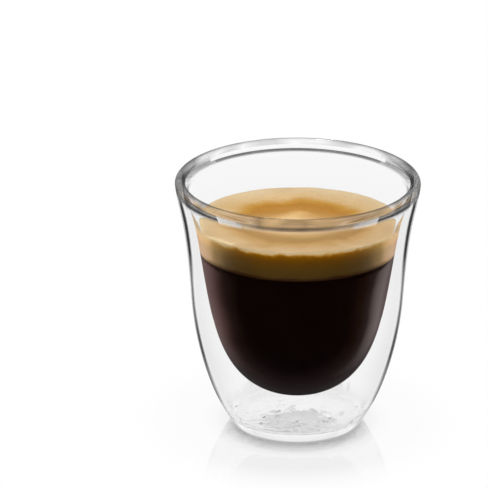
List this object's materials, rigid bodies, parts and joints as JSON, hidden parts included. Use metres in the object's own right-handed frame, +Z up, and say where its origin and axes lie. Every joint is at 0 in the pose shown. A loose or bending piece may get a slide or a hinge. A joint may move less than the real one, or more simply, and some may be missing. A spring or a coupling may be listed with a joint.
{
  "type": "double espresso",
  "caption": "Dark coffee under a golden crema in a small double-walled glass with a flared, rounded rim and a narrow thick foot.",
  "frame": {"origin": "middle of the foot, on the surface that the glass stands on", "axes": "+Z up along the glass's axis; the glass is round, so +X and +Y are any two directions at right angles across it"},
  "size_m": [0.065, 0.065, 0.0693],
  "materials": {
    "glass": "clear, smooth and polished",
    "coffee": "dark liquid, seen as a smooth glossy surface",
    "crema": "fine matt foam"
  },
  "bodies": {
    "root": {"glass": "glass", "coffee": "coffee", "crema": "crema"}
  },
  "joints": []
}
